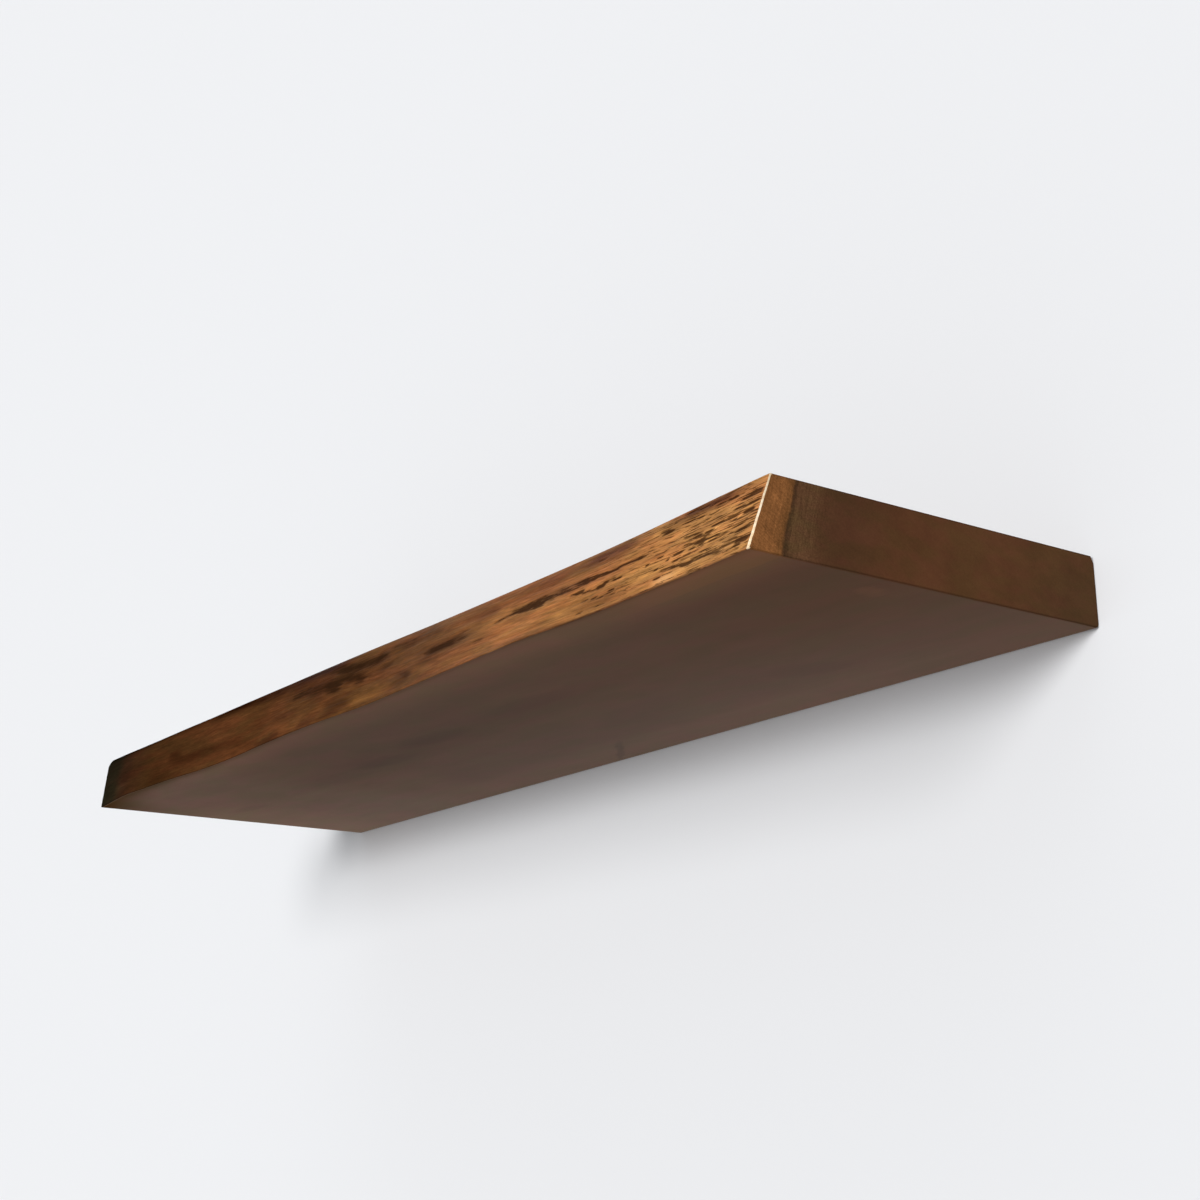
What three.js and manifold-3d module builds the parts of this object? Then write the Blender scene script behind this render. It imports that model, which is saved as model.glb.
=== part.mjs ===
// A floating wall shelf: one thick live-edge hardwood slab carried on a hidden steel bracket.
// The bracket is a flat bar with four round rods welded to it. Six countersunk screws in wall
// plugs hold the bar to the wall, and the slab slides on to the rods until its back meets the wall.
// Millimetres. X runs along the shelf, -Y points into the room and +Z is up. The origin is the
// middle of the bar's rear face, which lies on the wall.
import * as THREE from "three";
import { mergeVertices } from "three/addons/utils/BufferGeometryUtils.js";
import Module from "manifold-3d";

const wasm = await Module();
wasm.setup();

// The slab
const SLAB_LENGTH = 914;
const SLAB_DEPTH = 262;
const SLAB_THICKNESS = 44;
// The flat taken off each upright front corner, and its share of that at the top face
const CORNER_ARRIS = 1.2;
const CORNER_ARRIS_TOP_SHARE = 0.4;
// The bevel along the top back edge
const BACK_BEVEL_DEPTH = 2;
const BACK_BEVEL_DROP = 4;
// Each row is a place along the front edge, as a share of the length from the left end, and how
// far the wood stands from the wall there, as shares of the depth: underside, shoulder, top face.
const FRONT_EDGE_SHARES = [
  [0.0, 1.009, 0.994, 0.979],
  [0.035, 1.02, 0.999, 0.979],
  [0.075, 1.03, 1.002, 0.976],
  [0.125, 1.023, 0.998, 0.973],
  [0.18, 1.015, 0.993, 0.971],
  [0.235, 0.998, 0.985, 0.967],
  [0.3, 0.994, 0.98, 0.964],
  [0.38, 1.004, 0.975, 0.96],
  [0.46, 1.005, 0.972, 0.956],
  [0.54, 0.994, 0.966, 0.95],
  [0.62, 0.999, 0.96, 0.941],
  [0.7, 1.008, 0.954, 0.936],
  [0.77, 1.011, 0.95, 0.933],
  [0.83, 1.0, 0.949, 0.932],
  [0.89, 1.001, 0.952, 0.937],
  [0.95, 1.006, 0.957, 0.945],
  [0.985, 1.012, 0.961, 0.949],
  [1.0, 1.0135, 0.9625, 0.95],
];
const SHOULDER_HEIGHT_SHARE = 0.8;
// Soft swellings between the underside and the top face, several along the edge
const SWELL = 0.7;
const SWELL_COUNT = 5;
const STATION_COUNT = 60;
const LEVEL_SHARES = [0, 0.16, 0.32, 0.48, 0.64, 0.8, 0.88, 0.94, 0.98, 1];

// The wood left round the pocket for the bar: past each end, and above and below
const POCKET_END_WALL = 22;
const POCKET_LIP = 5.5;
// The wood left between the end of a rod's bore and the nominal front edge
const BORE_COVER = 51;

// The flat steel bar
const BAR_THICKNESS = 6;
const BAR_CORNER_RADIUS = 3;

// The rods, which pass through the bar and are welded to its front
const ROD_COUNT = 4;
const ROD_END_INSET = 57;
const ROD_DIAMETER = 16;
const ROD_TIP_CHAMFER = 2;
const ROD_REAR_SETBACK = 0.5;
const WELD_LEG = 5;
const WELD_THROAT_SHARE = 0.4;

// The screws, in pairs either side of the middle, as shares of the bar's length from the middle
const SCREW_PLACE_SHARES = [0.07, 0.29, 0.48];
const SCREW_HEAD_DIAMETER = 12;
const SCREW_HEAD_RIM = 0.4;
const SCREW_DIAMETER = 6;
const SCREW_POINT_LENGTH = 8;
const SCREW_PAST_PLUG = 9;
const SOCKET_WIDTH = 4.6;
const SOCKET_DEPTH = 2.8;

// The wall plugs, set a little below the face of the wall
const PLUG_WALL = 1.7;
const PLUG_LENGTH = 50;
const PLUG_SETBACK = 3;
const PLUG_BARB_COUNT = 6;
const PLUG_BARB_DEPTH = 0.7;
const PLUG_FIN_HEIGHT = 1.5;
const PLUG_FIN_WIDTH = 1.6;

// Clearances
const SEAT_GAP = 0.3;
const POCKET_END_GAP = 3;
const POCKET_SIDE_GAP = 1.5;
const POCKET_FLOOR_GAP = 0.5;
const BORE_END_GAP = 5;
const WELD_POCKET_GAP = 1.5;

// How far a cutting solid runs past the face that it cuts
const OVERRUN = 2;
const ROUND_SIDES = 24;
const SCREW_SIDES = 16;

const pocketLength = SLAB_LENGTH - 2 * POCKET_END_WALL;
const pocketHeight = SLAB_THICKNESS - 2 * POCKET_LIP;
const pocketDepth = BAR_THICKNESS + POCKET_FLOOR_GAP;
const barLength = pocketLength - 2 * POCKET_END_GAP;
const barHeight = pocketHeight - 2 * POCKET_SIDE_GAP;
const rodRadius = ROD_DIAMETER / 2;
const rodSpacing = (barLength - 2 * ROD_END_INSET) / (ROD_COUNT - 1);
const rodPlaces = Array.from({ length: ROD_COUNT }, (_, i) => (i - (ROD_COUNT - 1) / 2) * rodSpacing);
const boreRadius = rodRadius + SEAT_GAP;
const boreEnd = BORE_COVER - SLAB_DEPTH;
const rodTip = boreEnd + BORE_END_GAP;
const weldRadius = rodRadius + WELD_LEG;
const screwRadius = SCREW_DIAMETER / 2;
const screwHeadRadius = SCREW_HEAD_DIAMETER / 2;
const screwHeadHeight = SCREW_HEAD_RIM + screwHeadRadius - screwRadius;
const screwHoleRadius = screwRadius + SEAT_GAP;
const screwEnd = PLUG_SETBACK + PLUG_LENGTH + SCREW_PAST_PLUG;
const screwPlaces = SCREW_PLACE_SHARES.flatMap((share) => [-share, share])
  .sort((a, b) => a - b)
  .map((share) => share * barLength);

const wood = new THREE.MeshStandardMaterial({ color: 0x7a5236, roughness: 0.45, metalness: 0 });
const blackSteel = new THREE.MeshStandardMaterial({ color: 0x26272a, roughness: 0.5, metalness: 0.6 });
const weldSteel = new THREE.MeshStandardMaterial({ color: 0x34353a, roughness: 0.55, metalness: 0.7 });
const zincSteel = new THREE.MeshStandardMaterial({ color: 0xb9b7ae, roughness: 0.35, metalness: 0.9 });
const greyNylon = new THREE.MeshStandardMaterial({ color: 0x8f9294, roughness: 0.6, metalness: 0 });

// A geometry as a solid that can be cut and joined
function solidOf(geometry) {
  const bare = geometry.index ? geometry.toNonIndexed() : geometry.clone();
  bare.deleteAttribute("normal");
  bare.deleteAttribute("uv");
  const merged = mergeVertices(bare);
  return new wasm.Manifold(
    new wasm.Mesh({
      numProp: 3,
      vertProperties: new Float32Array(merged.attributes.position.array),
      triVerts: new Uint32Array(merged.index.array),
    }),
  );
}

function geometryOf(solid) {
  const mesh = solid.getMesh();
  const geometry = new THREE.BufferGeometry();
  geometry.setAttribute("position", new THREE.BufferAttribute(mesh.vertProperties, 3));
  geometry.setIndex(new THREE.BufferAttribute(mesh.triVerts, 1));
  return geometry;
}

// A solid turned about the Y axis, from pairs of radius and Y that start and end on the axis or
// close on themselves
function turned(profile, sides) {
  return new THREE.LatheGeometry(
    profile.map(([radius, y]) => new THREE.Vector2(radius, y)),
    sides,
  );
}

// A cylinder along Y, centred on X = x, Z = 0
function cylinderAlongY(radius, fromY, toY, x) {
  return new THREE.CylinderGeometry(radius, radius, toY - fromY, ROUND_SIDES).translate(
    x,
    (fromY + toY) / 2,
    0,
  );
}

// Smooth values of the front edge's shares at any place along the slab
const edgeShares = new THREE.CubicInterpolant(
  FRONT_EDGE_SHARES.map((row) => row[0]),
  FRONT_EDGE_SHARES.flatMap((row) => row.slice(1)),
  3,
);

// How far the front of the slab stands from the wall. The face runs straight from the underside
// to the shoulder, and rolls back from there to the top face.
function frontReach(alongShare, heightShare) {
  const [underside, shoulder, top] = edgeShares.evaluate(alongShare);
  const straight = (h) => THREE.MathUtils.lerp(underside, shoulder, h / SHOULDER_HEIGHT_SHARE);
  const roll = Math.max(0, (heightShare - SHOULDER_HEIGHT_SHARE) / (1 - SHOULDER_HEIGHT_SHARE));
  const swell =
    SWELL * Math.sin(Math.PI * heightShare) * Math.sin(2 * Math.PI * SWELL_COUNT * alongShare);
  return SLAB_DEPTH * (straight(heightShare) - (straight(1) - top) * roll ** 2) + swell;
}

// The outline of the slab across its length at one place, as points in Y and Z
function slabSection(alongShare, atEnd) {
  const half = SLAB_THICKNESS / 2;
  const front = LEVEL_SHARES.map((h) => {
    const arris = atEnd ? CORNER_ARRIS * THREE.MathUtils.lerp(1, CORNER_ARRIS_TOP_SHARE, h) : 0;
    return new THREE.Vector2(arris - frontReach(alongShare, h), SLAB_THICKNESS * h - half);
  });
  return [
    new THREE.Vector2(0, -half),
    ...front,
    new THREE.Vector2(-BACK_BEVEL_DEPTH, half),
    new THREE.Vector2(0, half - BACK_BEVEL_DROP),
  ];
}

// A closed solid through sections that all have the same number of points
function loft(sections, places) {
  const size = sections[0].length;
  const points = sections.flatMap((section, i) => section.flatMap((p) => [places[i], p.x, p.y]));
  const faces = [];
  for (let i = 0; i < sections.length - 1; i++) {
    for (let j = 0; j < size; j++) {
      const a = i * size + j;
      const b = i * size + ((j + 1) % size);
      faces.push(a, a + size, b, b, a + size, b + size);
    }
  }
  const last = (sections.length - 1) * size;
  for (const [a, b, c] of THREE.ShapeUtils.triangulateShape(sections[0], [])) {
    faces.push(a, c, b);
  }
  for (const [a, b, c] of THREE.ShapeUtils.triangulateShape(sections.at(-1), [])) {
    faces.push(last + a, last + b, last + c);
  }
  const geometry = new THREE.BufferGeometry();
  geometry.setAttribute("position", new THREE.Float32BufferAttribute(points, 3));
  geometry.setIndex(faces);
  return geometry;
}

function slabBlank() {
  const arrisShare = CORNER_ARRIS / SLAB_LENGTH;
  const inner = Array.from({ length: STATION_COUNT - 1 }, (_, i) => (i + 1) / STATION_COUNT);
  const shares = [0, arrisShare, ...inner, 1 - arrisShare, 1];
  const sections = shares.map((s) => slabSection(s, s === 0 || s === 1));
  const places = shares.map((s) => (s - 1 / 2) * SLAB_LENGTH);
  return loft(sections, places);
}

// The slab, with a closed pocket for the bar, and a bore and a weld pocket for each rod
function slab() {
  const pocket = new THREE.BoxGeometry(pocketLength, pocketDepth + OVERRUN, pocketHeight).translate(
    0,
    (OVERRUN - pocketDepth) / 2,
    0,
  );
  const weldPocketFloor = -BAR_THICKNESS - WELD_LEG - WELD_POCKET_GAP;
  let solid = solidOf(slabBlank()).subtract(solidOf(pocket));
  for (const x of rodPlaces) {
    const bore = cylinderAlongY(boreRadius, boreEnd, 0, x);
    const weldPocket = cylinderAlongY(weldRadius + WELD_POCKET_GAP, weldPocketFloor, 0, x);
    solid = solid.subtract(solidOf(bore)).subtract(solidOf(weldPocket));
  }
  return geometryOf(solid);
}

// The bar, with a hole for each rod and a countersunk hole for each screw
function wallBar() {
  const w = barLength / 2 - BAR_CORNER_RADIUS;
  const h = barHeight / 2 - BAR_CORNER_RADIUS;
  const outline = new THREE.Shape();
  outline.absarc(w, h, BAR_CORNER_RADIUS, 0, Math.PI / 2);
  outline.absarc(-w, h, BAR_CORNER_RADIUS, Math.PI / 2, Math.PI);
  outline.absarc(-w, -h, BAR_CORNER_RADIUS, Math.PI, (3 * Math.PI) / 2);
  outline.absarc(w, -h, BAR_CORNER_RADIUS, (3 * Math.PI) / 2, 2 * Math.PI);
  const blank = new THREE.ExtrudeGeometry(outline, {
    depth: BAR_THICKNESS,
    bevelEnabled: false,
    curveSegments: 4,
  }).rotateX(Math.PI / 2);
  let solid = solidOf(blank);
  for (const x of rodPlaces) {
    const hole = cylinderAlongY(boreRadius, -BAR_THICKNESS - OVERRUN, OVERRUN, x);
    solid = solid.subtract(solidOf(hole));
  }
  for (const x of screwPlaces) {
    solid = solid.subtract(solidOf(screwHole().translate(x, 0, 0)));
  }
  return geometryOf(solid);
}

// The space that a screw needs in the bar: its head and shank, grown by the seat gap
function screwHole() {
  const coneGap = SEAT_GAP * Math.SQRT2;
  const headRadius = screwHeadRadius + coneGap;
  const coneStart = SCREW_HEAD_RIM - BAR_THICKNESS;
  const coneEnd = coneStart + headRadius - screwHoleRadius;
  return turned(
    [
      [0, -BAR_THICKNESS - OVERRUN],
      [headRadius, -BAR_THICKNESS - OVERRUN],
      [headRadius, coneStart],
      [screwHoleRadius, coneEnd],
      [screwHoleRadius, OVERRUN],
      [0, OVERRUN],
    ],
    SCREW_SIDES,
  );
}

function supportRod() {
  return turned(
    [
      [0, rodTip],
      [rodRadius - ROD_TIP_CHAMFER, rodTip],
      [rodRadius, rodTip + ROD_TIP_CHAMFER],
      [rodRadius, -ROD_REAR_SETBACK],
      [0, -ROD_REAR_SETBACK],
    ],
    ROUND_SIDES,
  );
}

// The fillet weld round a rod's root, hollow between its two legs
function rodWeld() {
  const foot = -BAR_THICKNESS;
  const throat = WELD_LEG * WELD_THROAT_SHARE;
  return turned(
    [
      [boreRadius, foot],
      [boreRadius, foot - WELD_LEG],
      [rodRadius + throat, foot - throat],
      [weldRadius, foot],
      [boreRadius, foot],
    ],
    ROUND_SIDES,
  );
}

// A countersunk wood screw with a six-sided driving socket
function wallScrew() {
  const shank = turned(
    [
      [0, -BAR_THICKNESS],
      [screwHeadRadius, -BAR_THICKNESS],
      [screwHeadRadius, SCREW_HEAD_RIM - BAR_THICKNESS],
      [screwRadius, screwHeadHeight - BAR_THICKNESS],
      [screwRadius, screwEnd - SCREW_POINT_LENGTH],
      [0, screwEnd],
    ],
    SCREW_SIDES,
  );
  const socketRadius = SOCKET_WIDTH / Math.sqrt(3);
  const socket = new THREE.CylinderGeometry(socketRadius, socketRadius, SOCKET_DEPTH + OVERRUN, 6).translate(
    0,
    (SOCKET_DEPTH - OVERRUN) / 2 - BAR_THICKNESS,
    0,
  );
  return geometryOf(solidOf(shank).subtract(solidOf(socket)));
}

// A nylon plug: a barbed sleeve with a through bore and two fins that stop it turning
function wallPlug() {
  const inner = screwHoleRadius;
  const outer = inner + PLUG_WALL;
  const start = PLUG_SETBACK;
  const pitch = PLUG_LENGTH / (PLUG_BARB_COUNT + 1);
  const profile = [
    [inner, start],
    [outer, start],
  ];
  for (let i = 1; i <= PLUG_BARB_COUNT; i++) {
    profile.push([outer, start + i * pitch], [outer - PLUG_BARB_DEPTH, start + i * pitch]);
  }
  profile.push([outer - PLUG_BARB_DEPTH, start + PLUG_LENGTH], [inner, start + PLUG_LENGTH], [inner, start]);
  const finLength = PLUG_LENGTH / 2;
  const finTop = outer + PLUG_FIN_HEIGHT;
  let solid = solidOf(turned(profile, SCREW_SIDES));
  for (const side of [-1, 1]) {
    const fin = new THREE.BoxGeometry(PLUG_FIN_WIDTH, finLength, finTop - inner - SEAT_GAP).translate(
      0,
      start + pitch / 2 + finLength / 2,
      (side * (finTop + inner + SEAT_GAP)) / 2,
    );
    solid = solid.add(solidOf(fin));
  }
  return geometryOf(solid);
}

function part(name, geometry, material, x = 0) {
  const mesh = new THREE.Mesh(geometry, material);
  mesh.name = name;
  mesh.position.x = x;
  return mesh;
}

const bracket = new THREE.Group();
bracket.add(part("wall_bar", wallBar(), blackSteel));
rodPlaces.forEach((x, i) => {
  bracket.add(part(`support_rod_${i + 1}`, supportRod(), blackSteel, x));
  bracket.add(part(`rod_weld_${i + 1}`, rodWeld(), weldSteel, x));
});
screwPlaces.forEach((x, i) => {
  bracket.add(part(`wall_screw_${i + 1}`, wallScrew(), zincSteel, x));
  bracket.add(part(`wall_plug_${i + 1}`, wallPlug(), greyNylon, x));
});

const shelf = new THREE.Group();
shelf.add(part("live_edge_slab", slab(), wood), bracket);

export default shelf;
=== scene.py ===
import math

import bpy
import numpy as np
from mathutils import Euler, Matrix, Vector
from mathutils.bvhtree import BVHTree


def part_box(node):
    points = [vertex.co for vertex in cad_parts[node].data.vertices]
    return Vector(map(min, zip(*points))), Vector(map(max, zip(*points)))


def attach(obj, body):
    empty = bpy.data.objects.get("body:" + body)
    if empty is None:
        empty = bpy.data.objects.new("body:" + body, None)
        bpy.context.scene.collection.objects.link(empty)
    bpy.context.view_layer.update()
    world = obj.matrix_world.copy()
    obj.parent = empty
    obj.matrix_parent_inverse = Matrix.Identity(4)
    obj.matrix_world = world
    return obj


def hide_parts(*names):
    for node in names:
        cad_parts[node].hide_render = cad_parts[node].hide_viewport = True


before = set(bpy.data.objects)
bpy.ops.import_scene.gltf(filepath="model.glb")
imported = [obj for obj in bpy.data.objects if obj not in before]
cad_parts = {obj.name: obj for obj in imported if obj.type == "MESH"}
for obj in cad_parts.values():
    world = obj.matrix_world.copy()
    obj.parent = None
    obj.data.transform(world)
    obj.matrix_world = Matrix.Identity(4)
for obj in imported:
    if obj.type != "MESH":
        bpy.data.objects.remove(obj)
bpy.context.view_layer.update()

MM = 0.001
SEED = 20
WHITE = (1.0, 1.0, 1.0)

slab_low, slab_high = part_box("live_edge_slab")
bar_low, bar_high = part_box("wall_bar")
rod_low, rod_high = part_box("support_rod_1")
LENGTH = slab_high.x - slab_low.x
THICKNESS = slab_high.z - slab_low.z


def middles(node, count):
    """X of the middle of each of a row of CAD nodes."""
    boxes = [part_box("%s_%d" % (node, k)) for k in range(1, count + 1)]
    return [(low.x + high.x) / 2 for low, high in boxes]


class Nodes:
    """Short forms for the nodes of one tree. A value is a number, a colour or a socket."""

    def __init__(self, tree):
        self.tree = tree

    def join(self, socket, value):
        if isinstance(value, bpy.types.NodeSocket):
            self.tree.links.new(value, socket)
        elif value is not None:
            socket.default_value = value

    def node(self, kind, inputs, **settings):
        """A new node, with its inputs by place or name."""
        made = self.tree.nodes.new("ShaderNode" + kind)
        for name, value in settings.items():
            setattr(made, name, value)
        for place, value in inputs.items():
            self.join(made.inputs[place], value)
        return made

    def math(self, operation, first, second=None, third=None):
        return self.node("Math", {0: first, 1: second, 2: third}, operation=operation).outputs[0]

    def plus(self, first, second):
        return self.math("ADD", first, second)

    def less(self, first, second):
        return self.math("SUBTRACT", first, second)

    def scaled(self, value, factor, start):
        """The value times the factor, plus the start."""
        return self.math("MULTIPLY_ADD", value, factor, start)

    def vector(self, operation, first, second=None):
        return self.node("VectorMath", {0: first, 1: second}, operation=operation).outputs[0]

    def place(self):
        """The place on the object, in millimetres."""
        return self.cells(self.node("TexCoord", {}).outputs["Object"], (MM, MM, MM))

    def cells(self, vector, sizes):
        """The vector counted in cells of these sizes."""
        return self.vector("MULTIPLY", vector, [1 / size for size in sizes])

    def parts(self, vector):
        return self.node("SeparateXYZ", {0: vector}).outputs

    def attribute(self, name):
        """A value that each point of the mesh carries."""
        return self.node("Attribute", {}, attribute_name=name).outputs["Fac"]

    def noise(self, vector, sizes, detail, roughness=0.5, output="Fac"):
        """Noise between 0 and 1, in cells of these sizes."""
        inputs = {"Vector": self.cells(vector, sizes), "Scale": 1.0, "Detail": detail,
                  "Roughness": roughness}
        return self.node("TexNoise", inputs).outputs[output]

    def mapped(self, value, low, high, start, end, **settings):
        inputs = {"Value": value, "From Min": low, "From Max": high, "To Min": start, "To Max": end}
        return self.node("MapRange", inputs, **settings).outputs[0]

    def step(self, value, low, high, start=0.0, end=1.0):
        """A smooth rise from start to end as the value goes from low to high."""
        return self.mapped(value, low, high, start, end, interpolation_type="SMOOTHSTEP")

    def swing(self, value, reach):
        """Noise between 0 and 1 as a factor that swings by reach either side of 1."""
        return self.mapped(value, 0.25, 0.75, 1 - reach, 1 + reach, clamp=False)

    def eased(self, factor, share):
        """A factor that keeps only a share of its swing about 1."""
        return self.scaled(self.less(factor, 1.0), share, 1.0)

    def product(self, first, *rest):
        for value in rest:
            first = self.math("MULTIPLY", first, value)
        return first

    def mix(self, factor, first, second):
        return self.node("Mix", {0: factor, 6: first, 7: second}, data_type="RGBA").outputs[2]

    def tinted(self, colour, factor):
        """The colour with each channel multiplied by the factor."""
        return self.node("VectorMath", {0: colour, "Scale": factor}, operation="SCALE").outputs[0]

    def ramp(self, value, stops, interpolation="EASE"):
        made = self.node("ValToRGB", {0: value})
        made.color_ramp.interpolation = interpolation
        elements = made.color_ramp.elements
        while len(elements) < len(stops):
            elements.new(1.0)
        for element, (position, colour) in zip(elements, stops):
            element.position = position
            element.color = (*colour[:3], 1)
        return made.outputs["Color"]

    def blot(self, x, y, centre, half, turn):
        """How far a place lies from a turned blot's centre, squared, in its half lengths."""
        cosine, sine = math.cos(math.radians(turn)), math.sin(math.radians(turn))
        away = []
        for (along_x, along_y), size in zip(((cosine, sine), (-sine, cosine)), half):
            start = -(centre[0] * along_x + centre[1] * along_y) / size
            offset = self.scaled(y, along_y / size, start)
            share = self.scaled(x, along_x / size, offset)
            away.append(self.product(share, share))
        return self.plus(*away)

    def bump(self, height, distance, strength):
        inputs = {"Height": height, "Distance": distance, "Strength": strength}
        return self.node("Bump", inputs).outputs[0]


class Shader(Nodes):
    """One node material round a Principled shader."""

    def __init__(self, name, **settings):
        self.material = bpy.data.materials.new(name)
        self.material.use_nodes = True
        super().__init__(self.material.node_tree)
        self.surface = self.tree.nodes["Principled BSDF"]
        self.set(**settings)

    def set(self, **settings):
        """Sets the shader's own sockets, so that Base_Color stands for Base Color."""
        for name, value in settings.items():
            self.join(self.surface.inputs[name.replace("_", " ")], value)


def srgb(red, green, blue, gain=1.0):
    """A colour as it is seen, from 0 to 255, in the linear values that shaders take."""

    def linear(value):
        share = value / 255
        return gain * (share / 12.92 if share <= 0.04045 else ((share + 0.055) / 1.055) ** 2.4)

    return (linear(red), linear(green), linear(blue), 1.0)


def new_object(name, data, *materials):
    for material in materials:
        data.materials.append(material)
    made = bpy.data.objects.new(name, data)
    bpy.context.scene.collection.objects.link(made)
    return made


# The camera of the photograph, solved from the corners of the board
PHOTO_SIDE = 1200
PHOTO_FOCAL = 1784.83
SENSOR = 36.0
CAMERA_PLACE = (1.10974, -0.81548, -0.29902)
CAMERA_ANGLES = (106.4045, 0.2022, 54.9157)


def make_camera():
    data = bpy.data.cameras.new("photo_camera")
    data.sensor_width = SENSOR
    data.lens = SENSOR * PHOTO_FOCAL / PHOTO_SIDE
    camera = new_object("photo_camera", data)
    camera.location = CAMERA_PLACE
    camera.rotation_euler = Euler([math.radians(angle) for angle in CAMERA_ANGLES])
    bpy.context.scene.camera = camera


# The stage: a pale wall and floor. Each shows only from the side that faces the room, so that the
# shelf's back and top can be looked at, and neither blocks a lamp.
PALE = srgb(240, 241, 243)
WALL_GAP = 0.2 * MM
STAGE_REACH = 30
FLOOR_DROP = 1.45
STAGE_GLOW = 0.065
STAGE_PAINT = 0.82

# Lamps: degrees to the right of straight ahead, above level and of spread, and strength
LOW_KEY = (12, 3.5, 12, 1.45)
HIGH_KEY = (26, 11, 18, 1.2)
GLINT = (38, 46, 8, 1.5)

# The sky's strength, from straight down to straight up
SKY_SHARES = ((0.0, 0.44), (0.45, 0.40), (0.86, 0.30), (0.95, 1.0))


def stage_material():
    shader = Shader("stage_pale")
    nodes = shader.tree.nodes
    nodes.remove(shader.surface)
    paint = shader.node("BsdfDiffuse", {"Color": [STAGE_PAINT * share for share in PALE[:3]] + [1]})
    glow = shader.node("Emission", {"Color": PALE, "Strength": STAGE_GLOW})
    seen = shader.node("AddShader", {0: paint.outputs[0], 1: glow.outputs[0]})
    clear = shader.node("BsdfTransparent", {})
    behind = shader.node("NewGeometry", {}).outputs["Backfacing"]
    sides = shader.node("MixShader", {0: behind, 1: seen.outputs[0], 2: clear.outputs[0]})
    shader.join(nodes["Material Output"].inputs["Surface"], sides.outputs[0])
    return shader.material


def stage_sheet(name, corners, material):
    mesh = bpy.data.meshes.new(name)
    mesh.from_pydata(corners, [], [range(len(corners))])
    sheet = new_object(name, mesh, material)
    sheet.visible_shadow = False
    sheet.visible_diffuse = False
    sheet.visible_glossy = False


def make_stage():
    pale = stage_material()
    far, back, down = STAGE_REACH, WALL_GAP, -FLOOR_DROP
    wall = [(-far, back, down), (far, back, down), (far, back, far), (-far, back, far)]
    floor = [(-far, -far, down), (far, -far, down), (far, back, down), (-far, back, down)]
    stage_sheet("wall", wall, pale)
    stage_sheet("floor", floor, pale)


def make_sun(name, azimuth, elevation, spread, strength):
    data = bpy.data.lights.new(name, "SUN")
    data.energy = strength
    data.angle = math.radians(spread)
    sun = new_object(name, data)
    sun.rotation_euler = Euler((math.pi / 2 - math.radians(elevation), 0, math.radians(azimuth)))
    return sun


def make_world():
    world = bpy.data.worlds.new("studio")
    bpy.context.scene.world = world
    world.use_nodes = True
    s = Nodes(world.node_tree)
    direction = s.node("TexCoord", {}).outputs["Generated"]
    height = s.mapped(s.parts(direction)["Z"], -1, 1, 0, 1)
    level = s.ramp(height, [(at, [share] * 3) for at, share in SKY_SHARES], "LINEAR")
    kinds = s.node("LightPath", {}).outputs
    seen = kinds["Is Camera Ray"]
    for kind in ("Is Glossy Ray", "Is Transmission Ray"):
        seen = s.math("MAXIMUM", seen, kinds[kind])
    sky = s.tree.nodes["Background"].inputs
    s.join(sky["Strength"], s.node("Mix", {0: seen, 2: level, 3: 1.0}).outputs[0])
    s.join(sky["Color"], PALE)


def make_light():
    make_sun("low_key", *LOW_KEY)
    make_sun("high_key", *HIGH_KEY)
    make_sun("glint", *GLINT).visible_diffuse = False
    make_world()


# Curves, random waves, meshes and cuts that the shapes share
def rise(value, low, high):
    t = np.clip((value - low) / (high - low), 0, 1)
    return t * t * (3 - 2 * t)


def smooth_through(values, places):
    """The rows of values at fractional places, on a smooth curve through them."""
    last = len(values) - 1
    cell = np.clip(np.floor(places).astype(int), 0, last - 1)
    t = (places - cell)[:, None]
    start, end = values[cell], values[cell + 1]
    first = (end - values[np.clip(cell - 1, 0, last)]) / 2
    second = (values[np.clip(cell + 2, 0, last)] - start) / 2
    curve = start * (2 * t**3 - 3 * t**2 + 1) + end * (3 * t**2 - 2 * t**3)
    return curve + first * (t**3 - 2 * t**2 + t) + second * (t**3 - t**2)


def streaks(x, z, length, width, seed):
    """Smooth random values from -1 to 1, in cells of that length and width."""
    u, v = (x - x.min()) / length, (z - z.min()) / width
    lattice = np.random.default_rng(SEED + seed).uniform(-1, 1, (int(u.max()) + 2, int(v.max()) + 2))
    i, j = u.astype(int), v.astype(int)
    s, t = rise(u - i, 0, 1), rise(v - j, 0, 1)
    near = lattice[i, j] * (1 - s) + lattice[i + 1, j] * s
    far = lattice[i, j + 1] * (1 - s) + lattice[i + 1, j + 1] * s
    return near * (1 - t) + far * t


def ring_mesh(name, rings, closed=False):
    """A skin through rings of points. Its ends are capped, or the last ring joins the first."""
    rings = np.asarray(rings)
    count, size = rings.shape[:2]
    faces = []
    for i in range(count if closed else count - 1):
        following = (i + 1) % count
        for j in range(size):
            beside = (j + 1) % size
            faces.append((i * size + j, i * size + beside,
                          following * size + beside, following * size + j))
    if not closed:
        faces.append(tuple(reversed(range(size))))
        faces.append(tuple(range((count - 1) * size, count * size)))
    mesh = bpy.data.meshes.new(name)
    mesh.from_pydata(rings.reshape(-1, 3).tolist(), [], faces)
    return mesh


def smoothed(mesh, angle):
    mesh.shade_smooth()
    mesh.set_sharp_from_angle(angle=math.radians(angle))


def cut(body, *cutters):
    """Takes the cutters out of the body, one after another."""
    for cutter in cutters:
        modifier = body.modifiers.new("cut", "BOOLEAN")
        modifier.object = cutter
        modifier.solver = "EXACT"
    solid = body.evaluated_get(bpy.context.evaluated_depsgraph_get())
    mesh = bpy.data.meshes.new_from_object(solid)
    body.modifiers.clear()
    body.data = mesh
    for cutter in cutters:
        bpy.data.objects.remove(cutter)


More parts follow.
